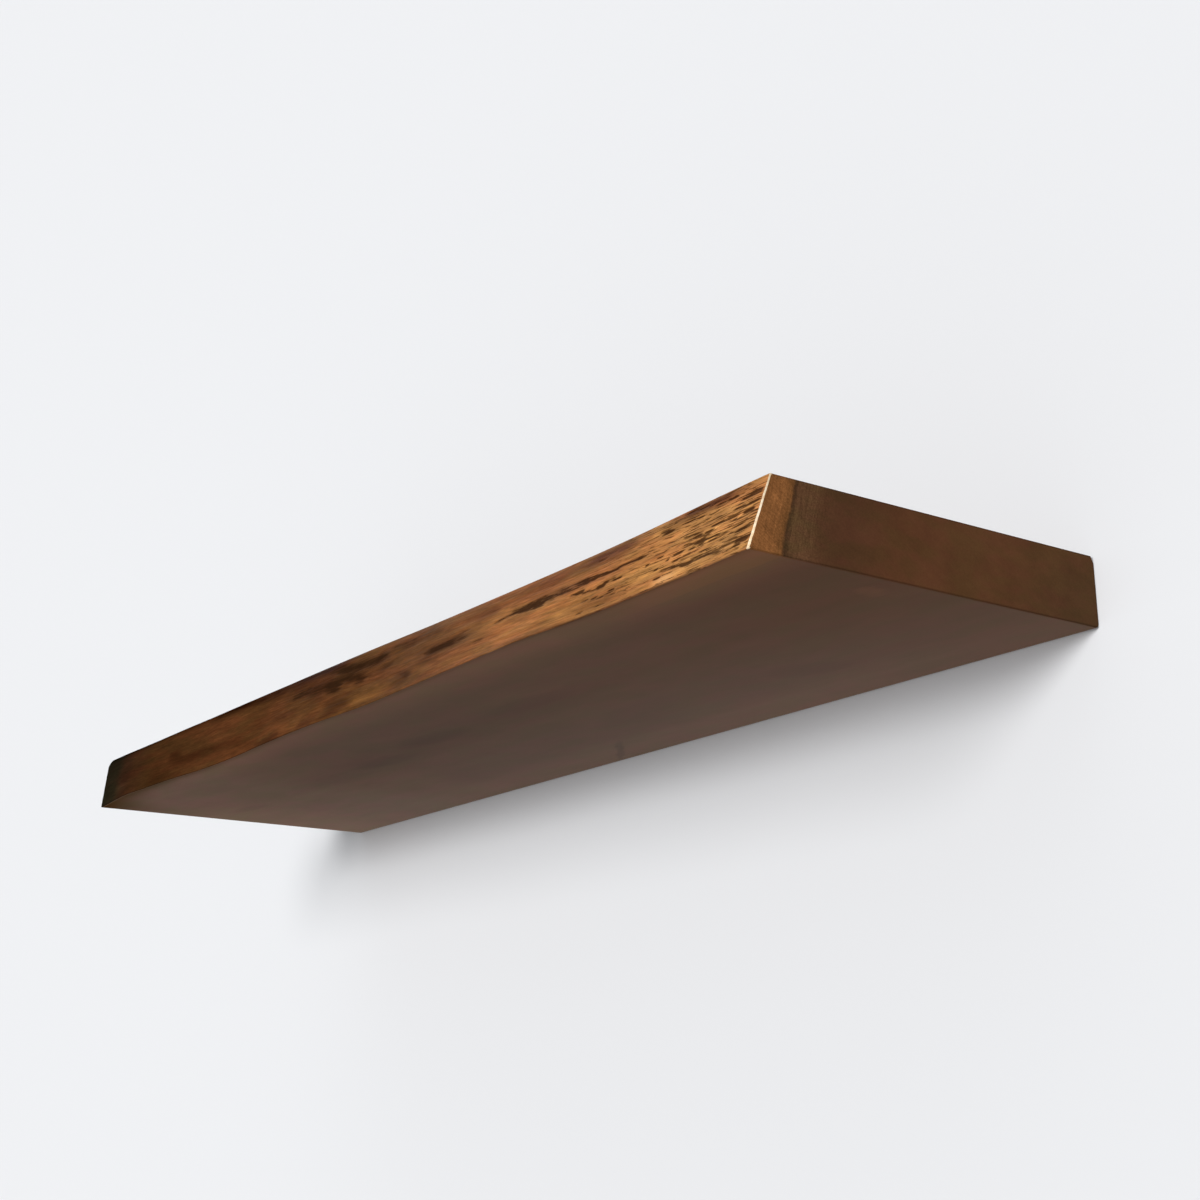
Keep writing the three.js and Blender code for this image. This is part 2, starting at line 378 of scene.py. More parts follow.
def joined(name, meshes):
    """One object of several separate meshes."""
    points, faces = [], []
    for mesh in meshes:
        start = len(points)
        points += [v.co[:] for v in mesh.vertices]
        faces += [[start + k for k in p.vertices] for p in mesh.polygons]
    mesh = bpy.data.meshes.new(name)
    mesh.from_pydata(points, [], faces)
    return new_object(name, mesh)


def turned(name, rows, angles, x, closed=False):
    """A mesh round a line along Y, from rows of Y and radius, each one value or one for each angle."""
    across, up = np.cos(angles), np.sin(angles)
    rings = [np.broadcast_arrays(x + radius * across, y, radius * up) for y, radius in rows]
    return ring_mesh(name, np.swapaxes(rings, 1, 2), closed)


def even_angles(sides):
    return np.arange(sides) * 2 * math.pi / sides


# The board. Its front face follows the CAD slab's, which rays sample, with the relief of a live edge.
PROBE_STATIONS = 61
PROBE_LEVELS = 23
PROBE_INSET = 3 * MM
PROBE_HAIR = 0.02 * MM
FINE_STEP = 0.75 * MM
COARSE_STEP = 1.5 * MM
FINE_SHARE = 0.66
FRONT_LEVELS = 128
ARRIS = 0.8 * MM
CORNER_ARRIS = 1.2 * MM
CORNER_ARRIS_TOP_SHARE = 0.4
CORNER_RINGS = 5
CORNER_MARGIN = 0.3 * MM
ARRIS_BENDS = (0.0, 0.3, 0.6, 0.85)
BACK_BEVEL_DEPTH = 2 * MM
BACK_BEVEL_DROP = 4 * MM
BACK_HEEL = 2 * MM
BACK_HEEL_BEND = 0.3 * BACK_HEEL
SHARP_ANGLE = 32
FACE_STEPS = (1 * MM, 2.2 * MM, 4 * MM, 7 * MM, 11 * MM, 17 * MM, 28 * MM, 50 * MM, 100 * MM)

# Remnants of bark and dark furrows on the live edge: X from the left end and height above the
# underside, half length and half height, all in millimetres, and how dark
MARKS = (
    (382, 31, 12, 4.6, 0.75), (393, 29, 13, 4.8, 0.95), (408, 28, 14, 4.4, 0.95),
    (427, 27, 13, 4, 1), (440, 26, 12, 5.5, 1.1), (446, 22.5, 8, 4.2, 0.8),
    (440, 37.6, 14, 3.2, 0.85), (454, 35.6, 12, 3.9, 1.1), (464, 34.2, 13, 3.7, 1.2),
    (477, 33.6, 13, 3.6, 1.15), (458, 28.6, 12, 3.1, 1), (469, 26.6, 12, 3.6, 1.1),
    (478, 24.2, 9, 4.2, 1.2), (489, 24.2, 7, 2.2, 0.5), (494, 33.8, 12, 3.4, 1.2),
    (505, 34, 9, 3.3, 1.1), (514, 32.4, 7, 1.9, 0.6), (501, 37, 8, 1.9, 0.5),
    (514, 26.2, 9, 2.2, 0.8), (532, 37.6, 11, 2.6, 0.6), (542, 35.6, 14, 2.9, 0.75),
    (554, 37, 11, 3.1, 0.65), (558, 34.4, 8, 1.9, 0.45), (543, 14, 7, 2.9, 0.5),
    (550, 11, 7, 3.1, 0.7), (562, 14.6, 10, 1.9, 0.3), (577, 22.4, 7, 3.6, 0.8),
    (587, 21.8, 11, 3.7, 1.2), (598, 22.4, 11, 4, 1.05), (608, 23, 13, 4.2, 0.9),
    (620, 21.8, 10, 3, 0.75), (618, 27.2, 9, 1.7, 0.55), (584, 36, 9, 3.1, 0.35),
    (640, 33.4, 9, 2.2, 0.35), (648, 33.6, 8, 1.9, 0.4), (642, 14.8, 8, 1.8, 0.75),
    (604, 12.4, 8, 1.4, 0.25), (661, 24.4, 8, 1.8, 0.9), (671, 24.9, 7, 1.6, 0.7),
    (680, 26, 9, 2.6, 1.1), (687, 25, 8, 3.1, 1.15), (696, 25.6, 10, 3.6, 1.2),
    (704, 23.6, 8, 2.5, 1.05), (706, 27.6, 9, 2.1, 1.05), (712, 25.6, 7, 2.3, 0.85),
    (719, 23.2, 4, 1.4, 0.7), (722, 20.6, 4, 1.1, 0.45), (724, 27, 12, 2.8, 0.78),
    (732, 25.4, 10, 2.4, 0.75), (745, 28, 12, 1.8, 0.82), (748, 25.6, 11, 2.4, 0.8),
    (757, 25.8, 9, 2.3, 0.88), (766, 26.6, 9, 1.7, 0.98), (778, 25.8, 9, 1.4, 1),
    (790, 26.8, 9, 1.1, 1), (800, 27, 8, 1.5, 0.95), (808, 26.6, 6, 1.4, 0.8),
    (742, 20.4, 6, 1.1, 0.9), (749, 20, 5, 1.6, 1.2), (756, 18.6, 5, 1.1, 0.9),
    (764, 17.6, 6, 0.85, 0.75), (771, 18.2, 5, 1.6, 1.2), (776, 20, 4, 1.1, 0.9),
    (782, 20.4, 4, 1.1, 0.85), (787, 19.1, 6, 0.95, 1.1), (757, 12.6, 6, 0.95, 0.9),
    (767, 11.4, 5, 1.1, 0.95), (773, 10.6, 4, 0.95, 0.85), (783, 12.4, 5, 0.85, 1),
    (779, 11, 7, 0.95, 0.65), (785, 9.4, 5, 0.85, 0.75), (793, 11.8, 5, 0.75, 0.6),
    (755, 5.4, 5, 0.95, 0.75), (776, 5.6, 8, 0.85, 0.7), (763, 37.6, 6, 0.85, 0.75),
    (713, 34.8, 7, 0.96, 0.4), (828, 28.2, 9, 0.95, 0.65), (831, 26.6, 8, 0.85, 0.6),
    (856, 26.7, 9, 0.95, 1), (875, 26.9, 9, 0.95, 1.1), (888, 26.6, 8, 1.1, 1.1),
    (903, 26.4, 6, 1.4, 1.3), (858, 24.6, 4.5, 1.1, 1.1), (848, 24.6, 8, 0.75, 0.65),
    (868, 24.6, 5, 0.95, 0.95), (843, 24.1, 5, 0.85, 0.7), (889, 24.3, 4.5, 0.75, 0.75),
    (852, 21.2, 8, 0.95, 0.95), (862, 20.4, 6, 1.6, 1.1), (873, 19.9, 8, 0.85, 1),
    (843, 19, 6, 0.95, 1.1), (896, 19.4, 9, 0.85, 0.95), (886, 19.2, 4, 0.75, 0.75),
    (855, 18, 4, 0.95, 1.1), (863, 18.4, 4, 0.85, 0.95), (874, 17.6, 6, 0.85, 1),
    (883, 17.8, 4, 0.75, 0.75), (842, 14.4, 4, 0.85, 0.95), (850, 14.9, 7, 0.85, 0.95),
    (859, 15.4, 5, 0.75, 0.75), (876, 15.6, 7, 0.75, 0.65), (891, 16.4, 4, 0.75, 0.85),
    (902, 15.9, 8, 1.6, 0.9), (853, 13, 8, 0.75, 0.75), (868, 13.3, 8, 0.75, 0.7),
    (836, 11.2, 9, 1.6, 0.95), (846, 10.4, 8, 1.6, 0.95), (855, 9, 6, 1.6, 1.2),
    (867, 10.3, 9, 1.3, 0.95), (869, 8.8, 8, 1.1, 1.1), (880, 8.8, 8, 1.7, 0.9),
    (884, 6.4, 6, 1.1, 0.85), (892, 9.4, 7, 1.1, 0.8), (829, 7.4, 4, 0.95, 1.1),
    (903, 9, 7, 2.9, 1.1), (899, 6.2, 5, 0.85, 1.1), (908, 10, 5, 0.95, 0.95),
    (899, 4.3, 5, 0.75, 0.7), (814.5, 19.4, 2.4, 1.1, 1.1), (825, 21.1, 4, 0.75, 0.85),
    (833.5, 17.3, 2.2, 0.95, 1), (825, 13.9, 2.6, 1.1, 1), (808, 13.4, 2, 0.85, 0.65),
    (824, 37.8, 6, 1.1, 1.1), (828, 35.9, 6, 1.1, 0.95), (846, 37, 8, 0.85, 0.8),
    (856, 36.6, 4, 0.75, 0.85), (872, 39.4, 7, 0.75, 0.85), (884, 39.4, 6, 0.85, 1.1),
    (892, 39.6, 3, 0.85, 0.95), (899, 37.4, 5, 0.85, 0.85), (897, 35.6, 6, 1.1, 1.3),
    (905, 36.8, 6, 2.1, 1.3), (893, 31, 6, 1.1, 1), (904, 30.4, 7, 0.95, 1.2),
    (908, 28.4, 4, 0.75, 0.85), (901, 33, 4, 0.75, 0.7), (848, 43, 9, 1.2, 0.85),
    (857, 42.2, 6, 1.1, 0.7),
)

# Softer brown shading on the live edge, in the same terms: brown patches in the wood, and painted shade
# along its top edge, where it rolls away from the light. Below zero it is lighter: lighter patches in
# the wood, and a painted highlight low near the right end.
SHADES = (
    (25, 38, 30, 9, 0.25), (52, 7, 15, 5, -0.4), (75, 20, 30, 8, 0.15),
    (165, 20, 14, 6, 0.38), (180, 14, 18, 5, 0.30), (215, 14.5, 36, 4.5, 0.42),
    (140, 5, 24, 6, 0.30), (265, 13, 34, 5, 0.26), (290, 9, 20, 4, 0.15),
    (318, 20, 16, 16, 0.14), (375, 17.5, 24, 3.5, 0.24), (345, 2, 20, 3.5, 0.35),
    (335, 5, 12, 3, -0.15), (378, 5, 22, 4, -0.25), (408, 3, 16, 3, 0.22),
    (385, 36, 24, 6, 0.28), (352, 33, 12, 5, -0.1), (425, 34, 12, 3.5, -0.12),
    (436, 38, 24, 4, 0.4), (405, 41, 60, 5.5, 0.62), (60, 42.5, 90, 3.5, 0.45),
    (180, 42.5, 70, 3, 0.35), (268, 41, 46, 4.8, 0.68), (330, 40.5, 34, 5, 0.60),
    (455, 9.5, 18, 6, 0.48), (446, 3, 16, 3, 0.42), (490, 5, 22, 4, -0.12),
    (472, 17, 16, 5, -0.10), (548, 27, 30, 5, 0.2), (546, 11.5, 16, 6, 0.48),
    (575, 14.5, 18, 4, 0.25), (560, 3, 40, 4, 0.18), (505, 1, 40, 2, 0.2),
    (575, 35.5, 14, 4.5, 0.38), (545, 36, 30, 6, 0.3), (610, 33, 34, 9, 0.22),
    (642, 33.6, 18, 5, 0.40), (600, 13, 14, 2.5, 0.2), (600, 20, 38, 8, 0.36),
    (492, 32, 36, 7, 0.42), (440, 29, 44, 9, 0.38), (640, 2, 60, 2.5, 0.22),
    (690, 38, 44, 7, 0.42), (713, 34.6, 12, 2, 0.25), (710, 1.5, 40, 2.5, 0.35),
    (735, 38, 46, 7.5, 0.42), (735, 17, 40, 6, -0.12), (505, 22, 40, 8, 0.28),
    (710, 25, 34, 6, 0.2), (738, 26, 26, 3.6, 0.45), (772, 38.6, 34, 6.6, 0.56),
    (786, 38, 10, 3, 0.3), (863, 41, 33, 4.2, 0.68), (848, 38, 26, 4, 0.22),
    (880, 41, 30, 3, 0.2), (772, 7, 26, 5, 0.4), (842, 4.5, 14, 3.4, -0.22),
    (850, 17, 50, 7, -0.12), (800, 0.4, 115, 0.9, 0.6), (866, 30, 16, 4, 0.24),
    (778, 29, 14, 4, 0.2), (818, 38, 10, 4, -0.1),
)

# How much darker and browner the underside is along its front edge: X in millimetres, strength and
# reach
RIM_PLACES = (0, 20, 60, 110, 180, 260, 420, 914)
RIM_SHADES = (1.0, 0.92, 0.80, 0.74, 0.68, 0.50, 0.40, 0.40)
RIM_REACHES = (38, 38, 19, 9, 5.5, 3.5, 3, 2)


def probe_front():
    """The CAD slab's front face, as a table of Y at even stations and levels."""
    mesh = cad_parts["live_edge_slab"].data
    tree = BVHTree.FromPolygons([v.co for v in mesh.vertices], [p.vertices for p in mesh.polygons])
    stations = np.linspace(slab_low.x + PROBE_INSET, slab_high.x - PROBE_INSET, PROBE_STATIONS)
    levels = np.linspace(slab_low.z + PROBE_HAIR, slab_high.z - PROBE_HAIR, PROBE_LEVELS)
    far, ahead = slab_low.y - LENGTH, Vector((0, 1, 0))
    rows = [[tree.ray_cast(Vector((x, far, z)), ahead)[0].y for z in levels] for x in stations]
    return stations, np.array(rows)


def board_stations():
    margin = CORNER_ARRIS + CORNER_MARGIN
    start, end = slab_low.x + margin, slab_high.x - margin
    change = slab_low.x + FINE_SHARE * LENGTH
    coarse = np.linspace(start, change, round((change - start) / COARSE_STEP), endpoint=False)
    return np.concatenate([coarse, np.linspace(change, end, round((end - change) / FINE_STEP))])


def board_front(stations, levels):
    """Y of the front face before its relief, at each station and height share."""
    places, table = probe_front()
    along = (stations - places[0]) / (places[1] - places[0])
    rows = smooth_through(table, np.clip(along, 0, PROBE_STATIONS - 1))
    return smooth_through(rows.T, levels * (PROBE_LEVELS - 1)).T


# How sharply overlapping marks join and how steeply they fade. How far the whole table of dark ones is
# moved, in millimetres.
BLEND = 2.0
FADE_POWER = 1.5
MARKS_ALONG = 2.0
MARKS_DOWN = 1.2

# Random waves: reach, length and width of a cell in millimetres, and seed. Those that bend the marks
# die down by a share towards the right end.
MARK_WAVES_UP = ((1.1, 46, 9, 1), (0.5, 13, 2.2, 2))
MARK_WAVES_ALONG = ((4, 20, 1.6, 3),)
MARK_CALM_SHARE = 0.85
MARK_CALM_SPAN = (480, 800)
RELIEF_WAVES = ((0.30, 44, 5.5, 4), (0.13, 17, 2.0, 5), (0.06, 9, 0.9, 6))
RELIEF_LEAST_SHARE = 0.25
RELIEF_ARRIS = 2.5
RELIEF_END = 8
MARK_DEPTH = 0.35
MARK_FULL = 1.2


def waves(x, z, table):
    """The sum of a table's random waves at each point."""
    return sum(reach * streaks(x, z, length, width, seed) for reach, length, width, seed in table)


def placed(table, x, z):
    """How strong a table's marks are, at millimetres from the left end and above the underside."""
    bend = 1 - MARK_CALM_SHARE * rise(x, *MARK_CALM_SPAN)
    bent_x = x + bend * waves(x, z, MARK_WAVES_ALONG)
    bent_z = z + bend * waves(x, z, MARK_WAVES_UP)
    total = np.zeros(x.shape)
    for mark_x, mark_z, half_length, half_height, strength in table:
        away = ((bent_x - mark_x) / half_length) ** 2
        mark = strength * np.exp(-(away**FADE_POWER) - ((bent_z - mark_z) / half_height) ** 2)
        total += np.sign(mark) * np.abs(mark) ** BLEND
    return np.sign(total) * np.abs(total) ** (1 / BLEND)


def relief(x, z, depth):
    """How far the live edge stands back from the CAD's smooth face, in millimetres."""
    arrises = rise(z, 0, RELIEF_ARRIS) * rise(THICKNESS / MM - z, 0, RELIEF_ARRIS)
    ends = rise(x, 0, RELIEF_END) * rise(LENGTH / MM - x, 0, RELIEF_END)
    share = RELIEF_LEAST_SHARE + (1 - RELIEF_LEAST_SHARE) * arrises * ends
    return (waves(x, z, RELIEF_WAVES) + MARK_DEPTH * np.clip(depth, 0, MARK_FULL)) * share


def bezier(start, control, end, t):
    return start * (1 - t) ** 2 + control * 2 * t * (1 - t) + end * t**2


def board_ring(x_flat, x_face, front, marks, low, high, back):
    """One cross-section: X, Y, Z and the strengths of the marks and shades at each point."""
    z = np.linspace(low, high, len(front))

    def arris(y, z_edge, y_face, z_face):
        flat, point, face = np.array([[y + ARRIS, z_edge], [y, z_edge], [y_face, z_face]])
        return [bezier(flat, point, face, t) for t in ARRIS_BENDS]

    below = [(front[0] + ARRIS + step, low) for step in reversed(FACE_STEPS)]
    low_arris = arris(front[0], low, front[1], z[1])
    face = list(zip(front[1:-1], z[1:-1]))
    high_arris = arris(front[-1], high, front[-2], z[-2])[::-1]
    above = [(front[-1] + ARRIS + step, high) for step in FACE_STEPS]
    bevel = [(back - BACK_BEVEL_DEPTH, high), (back, high - BACK_BEVEL_DROP)]
    heel = [(back, low + BACK_HEEL), (back - BACK_HEEL_BEND, low + BACK_HEEL_BEND),
            (back - BACK_HEEL, low)]
    points = np.array(below + low_arris + face + high_arris + above + bevel + heel)
    last = len(front) - 1
    level = [-1] * len(below) + [0] * len(low_arris) + list(range(1, last)) + [last] * len(high_arris)
    level = np.array(level + [-1] * (len(points) - len(level)))
    x = np.where(level < 0, x_flat, x_face[level])
    strengths = np.where(level[:, None] < 0, 0, marks[level])
    across = (x_flat - slab_low.x) / MM
    reach = np.interp(across, RIM_PLACES, RIM_REACHES) * MM
    strengths[:len(below), 1] = (np.interp(across, RIM_PLACES, RIM_SHADES)
                                 * np.exp(-(np.array(FACE_STEPS[::-1]) / reach) ** FADE_POWER))
    return np.column_stack([x, points, strengths])


def board_end(front, marks, side):
    """The rings that round one end of the board and chamfer its front corner."""
    edge = slab_low.x if side < 0 else slab_high.x
    levels = np.linspace(0, 1, len(front))
    chamfer = CORNER_ARRIS * (1 - (1 - CORNER_ARRIS_TOP_SHARE) * levels)
    rings = []
    for share in np.linspace(0, 1, CORNER_RINGS + 1):
        round_in = ARRIS * (1 - math.cos(share * math.pi / 2))
        round_out = ARRIS * (1 - math.sin(share * math.pi / 2))
        x_face = edge - side * chamfer * (1 - share)
        rings.append(board_ring(edge - side * round_out, x_face, front + chamfer * share, marks,
                                slab_low.z + round_in, slab_high.z - round_in, -round_in))
    return rings if side > 0 else rings[::-1]


def board_rings():
    """The board's cross-sections, as rows of X, Y, Z, depth of mark and depth of shade."""
    stations = board_stations()
    levels = np.linspace(0, 1, FRONT_LEVELS)
    front = board_front(stations, levels)
    x = np.broadcast_to(((stations - slab_low.x) / MM)[:, None], front.shape)
    z = np.broadcast_to(levels * THICKNESS / MM, front.shape)
    marks = np.stack([placed(MARKS, x - MARKS_ALONG, z + MARKS_DOWN), placed(SHADES, x, z)], -1)
    front = np.maximum(front + relief(x, z, marks[..., 0]) * MM, slab_low.y)
    rings = [board_ring(s, np.full(FRONT_LEVELS, s), f, m, slab_low.z, slab_high.z, 0.0)
             for s, f, m in zip(stations, front, marks)]
    return np.array(board_end(front[0], marks[0], -1) + rings + board_end(front[-1], marks[-1], 1))


# The pocket, bores and weld pockets in the board's back, as the CAD has them, with eased mouths
POCKET_END_WALL = 22 * MM
POCKET_LIP = 5.5 * MM
POCKET_DEPTH = 6.5 * MM
BORE_COVER = 51 * MM
SEAT_GAP = 0.3 * MM
WELD_LEG = 5 * MM
WELD_POCKET_GAP = 1.5 * MM
CUT_EASE = 0.4 * MM
CUT_OVERRUN = 2 * MM
CUT_SIDES = 48
SLAB_DEPTH = 262 * MM
rod_radius = (rod_high.x - rod_low.x) / 2
rod_places = middles("support_rod", 4)


def pocket_cutter():
    half_length = LENGTH / 2 - POCKET_END_WALL
    half_height = THICKNESS / 2 - POCKET_LIP
    steps = ((CUT_OVERRUN, CUT_EASE), (0.0, CUT_EASE), (-CUT_EASE, 0.0), (-POCKET_DEPTH, 0.0))
    rings = []
    for y, grow in steps:
        a, b = half_length + grow, half_height + grow
        rings.append([(a, y, -b), (a, y, b), (-a, y, b), (-a, y, -b)])
    return new_object("pocket", ring_mesh("pocket", rings))


def round_cutter(name, radius, depth, mouth):
    """Blind holes in line with the rods, with an eased mouth at that depth."""
    wide, angles = radius + CUT_EASE, even_angles(CUT_SIDES)
    profile = ((CUT_OVERRUN, wide), (mouth, wide), (mouth - CUT_EASE, radius), (-depth, radius))
    return joined(name, [turned(name, profile, angles, x) for x in rod_places])


def make_board(wood, live_edge, corner_highlight):
    rings = board_rings()
    count, size = rings.shape[:2]
    mesh = ring_mesh("live_edge_board", rings[:, :, :3])
    # The front face is live edge, and its chamfer at the right end carries a painted highlight.
    first = len(FACE_STEPS)
    end = first + FRONT_LEVELS - 2 + 2 * len(ARRIS_BENDS)
    for index, face in enumerate(mesh.polygons[:(count - 1) * size]):
        station, place = divmod(index, size)
        if first <= place < end - 1:
            face.material_index = 2 if count - 2 - station < CORNER_RINGS else 1
    for column, name in ((3, "dark"), (4, "shade")):
        values = mesh.attributes.new(name, "FLOAT", "POINT").data
        values.foreach_set("value", rings[:, :, column].ravel())
    board = new_object("live_edge_board", mesh, wood, live_edge, corner_highlight)
    weld_depth = -bar_low.y + WELD_LEG + WELD_POCKET_GAP
    weld_radius = rod_radius + WELD_LEG + WELD_POCKET_GAP
    cut(board, pocket_cutter(),
        round_cutter("weld_pockets", weld_radius, weld_depth, -POCKET_DEPTH),
        round_cutter("bores", rod_radius + SEAT_GAP, SLAB_DEPTH - BORE_COVER, -weld_depth))
    smoothed(board.data, SHARP_ANGLE)
    for face in board.data.polygons:
        face.use_smooth = len(face.vertices) <= 4
    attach(board, "shelf")
    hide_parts("live_edge_slab")


# The hidden bracket: a bar with welded rods, on screws in wall plugs
BAR_CORNER = 3 * MM
BAR_CORNER_STEPS = 8
BAR_EASE = 0.35 * MM
BAR_EASE_BEND = 0.3 * BAR_EASE
ROD_CHAMFER = 2 * MM
ROD_EASE = 0.25 * MM
ROD_EASE_DROP = 1.2 * ROD_EASE
ROD_SIDES = 64
WELD_BORE_GAP = 0.05 * MM
WELD_THROAT = 2 * MM
WELD_STEPS = 10
WELD_RIPPLES = 24
WELD_RIPPLE_SIDES = 8
WELD_RIPPLE_BEND = 3.0
WELD_RIPPLE_DEPTH = 0.3 * MM
WELD_SHARP_ANGLE = 60
SCREW_RADIUS = 3 * MM
SCREW_CORE = 2.05 * MM
SCREW_HEAD_RADIUS = 6 * MM
SCREW_HEAD_RIM = 0.4 * MM
SCREW_HEAD_EASES = ((0.0, 0.45 * MM), (0.08 * MM, 0.12 * MM), (0.2 * MM, 0.0))
SCREW_SHANK_END = 3 * MM
SCREW_THREAD_PITCH = 2.4 * MM
SCREW_THREAD_STEPS = 8
SCREW_CREST_SHARE = 0.26
SCREW_POINT = 8 * MM
SCREW_SIDES = 48
SCREW_SHARP_ANGLE = 30
SOCKET_WIDTH = 4.6 * MM
SOCKET_DEPTH = 2.8 * MM
SOCKET_CENTRE = 0.3 * MM
SOCKET_SLOPE = 0.5 * MM
SOCKET_EASE = 0.15 * MM
SOCKET_MOUTH_SHARE = 1.06
PLUG_WALL = 1.7 * MM
PLUG_BARBS = 6
PLUG_BARB_DEPTH = 0.7 * MM
PLUG_BARB_BACK = 0.15 * MM
PLUG_LAST_BARB_SHARE = 0.1
PLUG_RIM = 0.35 * MM
PLUG_RIM_SHARE = 0.35
PLUG_TIP = 0.4 * MM
PLUG_TIP_SHARE = 1.4
PLUG_FIN_HALF_WIDTH = 0.8 * MM
PLUG_SLOT_WEB = 0.4 * MM
PLUG_SLOT_START_SHARE = 1.6
PLUG_STEP = 0.01 * MM
PLUG_SHARP_ANGLE = 25

# Radians round a plug, from the middle of its slot towards its fin
PLUG_SLOT_TURN = 0.11
PLUG_TURNS = (0.13, 0.35, 0.6, 0.85, 1.1, 1.3)
TURN_HAIR = 0.001
screw_places = middles("wall_screw", 6)


def rounded_outline(half_length, half_height, radius):
    corners = ((1, 1, 0), (-1, 1, 90), (-1, -1, 180), (1, -1, 270))
    points = []
    for side_x, side_z, start in corners:
        for turn in np.radians(start + np.linspace(0, 90, BAR_CORNER_STEPS)):
            points.append((side_x * (half_length - radius) + radius * math.cos(turn),
                           side_z * (half_height - radius) + radius * math.sin(turn)))
    return points


def place_in_bracket(made, node, angle=SHARP_ANGLE):
    smoothed(made.data, angle)
    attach(made, "bracket")
    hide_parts(node)


def make_bar(steel):
    half_length, half_height = (bar_high.x - bar_low.x) / 2, (bar_high.z - bar_low.z) / 2
    front = bar_low.y
    rings = []
    for y, inset in ((0.0, BAR_EASE), (-BAR_EASE_BEND, BAR_EASE_BEND), (-BAR_EASE, 0.0),
                     (front + BAR_EASE, 0.0), (front + BAR_EASE_BEND, BAR_EASE_BEND),
                     (front, BAR_EASE)):
        outline = rounded_outline(half_length - inset, half_height - inset, BAR_CORNER - inset)
        rings.append([(x, y, z) for x, z in outline])
    bar = new_object("bracket_bar", ring_mesh("bracket_bar", rings), steel)
    cone_gap = SEAT_GAP * math.sqrt(2)
    head, hole, rod_hole = SCREW_HEAD_RADIUS + cone_gap, SCREW_RADIUS + SEAT_GAP, rod_radius + SEAT_GAP
    cone = front + SCREW_HEAD_RIM
    screw_profile = ((CUT_OVERRUN, hole), (cone + head - hole, hole), (cone, head),
                     (front - CUT_OVERRUN, head))
    rod_profile = ((CUT_OVERRUN, rod_hole), (front - CUT_OVERRUN, rod_hole))
    angles = even_angles(CUT_SIDES)
    holes = [turned("hole", rod_profile, angles, x) for x in rod_places]
    holes += [turned("hole", screw_profile, angles, x) for x in screw_places]
    cut(bar, joined("holes", holes))
    place_in_bracket(bar, "wall_bar")


def make_rod(number, x, steel):
    rear, tip, r = rod_high.y, rod_low.y, rod_radius
    profile = ((rear, r - ROD_EASE), (rear - ROD_EASE, r), (tip + ROD_CHAMFER + ROD_EASE, r),
               (tip + ROD_CHAMFER - ROD_EASE, r - ROD_EASE_DROP),
               (tip + ROD_EASE, r - ROD_CHAMFER + ROD_EASE),
               (tip, r - ROD_CHAMFER - ROD_EASE))
    mesh = turned("bracket_rod", profile, even_angles(ROD_SIDES), x)
    rod = new_object("bracket_rod_%d" % number, mesh, steel)
    place_in_bracket(rod, "support_rod_%d" % number)


def make_weld(number, x, steel):
    foot = bar_low.y
    inner, outer = rod_radius + WELD_BORE_GAP, rod_radius + WELD_LEG
    across = np.linspace(0, 1, WELD_STEPS)
    start, end = np.array([inner, foot - WELD_LEG]), np.array([outer, foot])
    throat = np.array([rod_radius + WELD_THROAT, foot - WELD_THROAT])
    control = 2 * throat - (start + end) / 2
    face = bezier(start[None, :], control[None, :], end[None, :], across[:, None])
    angles = even_angles(WELD_RIPPLES * WELD_RIPPLE_SIDES)
    turn = angles[None, :] * WELD_RIPPLES + WELD_RIPPLE_BEND * (2 * across[:, None] - 1) ** 2
    dip = WELD_RIPPLE_DEPTH * (0.5 + 0.5 * np.cos(turn + number)) * np.sin(math.pi * across[:, None])
    rows = [*zip(face[:, 1:] + dip, face[:, :1] - dip), (foot, inner)]
    mesh = turned("weld_bead", rows, angles, x, closed=True)
    weld = new_object("weld_bead_%d" % number, mesh, steel)
    place_in_bracket(weld, "rod_weld_%d" % number, WELD_SHARP_ANGLE)


def make_screw(number, x, zinc):
    front, head, angles = bar_low.y, SCREW_HEAD_RADIUS, even_angles(SCREW_SIDES)
    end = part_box("wall_screw_1")[1].y
    socket_floor = front + SOCKET_DEPTH
    socket = SOCKET_WIDTH / 2 / np.cos(angles % (math.pi / 3) - math.pi / 6)
    rows = [(socket_floor, SOCKET_CENTRE), (socket_floor - SOCKET_SLOPE, socket),
            (front + SOCKET_EASE, socket), (front, socket * SOCKET_MOUTH_SHARE)]
    rows += [(front + back, head - inset) for back, inset in SCREW_HEAD_EASES]
    rows += [(front + SCREW_HEAD_RIM, head),
             (front + SCREW_HEAD_RIM + head - SCREW_RADIUS, SCREW_RADIUS),
             (SCREW_SHANK_END, SCREW_RADIUS)]
    step = SCREW_THREAD_PITCH / SCREW_THREAD_STEPS
    for y in np.arange(SCREW_SHANK_END + step, end - step / 2, step):
        phase = (y / SCREW_THREAD_PITCH - angles / (2 * math.pi)) % 1
        crest = np.clip(1 - np.abs(phase - 0.5) / SCREW_CREST_SHARE, 0, 1)
        grown = rise(y, SCREW_SHANK_END, SCREW_SHANK_END + SCREW_THREAD_PITCH)
        core = SCREW_RADIUS + (SCREW_CORE - SCREW_RADIUS) * grown
        radius = core + (SCREW_RADIUS - core) * crest
        rows.append((y, radius * min(1, (end - y) / SCREW_POINT)))
    screw = new_object("wood_screw_%d" % number, turned("screw", rows, angles, x), zinc)
    place_in_bracket(screw, "wall_screw_%d" % number, SCREW_SHARP_ANGLE)


def plug_barbs(start, end, pitch):
    """How far in the plug's skin lies at places along it, in barb depths."""
    marks = {start: PLUG_RIM_SHARE, start + PLUG_RIM: 0.0}
    for k in range(1, PLUG_BARBS + 1):
        marks[start + k * pitch] = 0.0 if k < PLUG_BARBS else PLUG_LAST_BARB_SHARE
        marks[start + k * pitch + PLUG_BARB_BACK] = 1.0
    marks[end] = PLUG_TIP_SHARE
    return marks


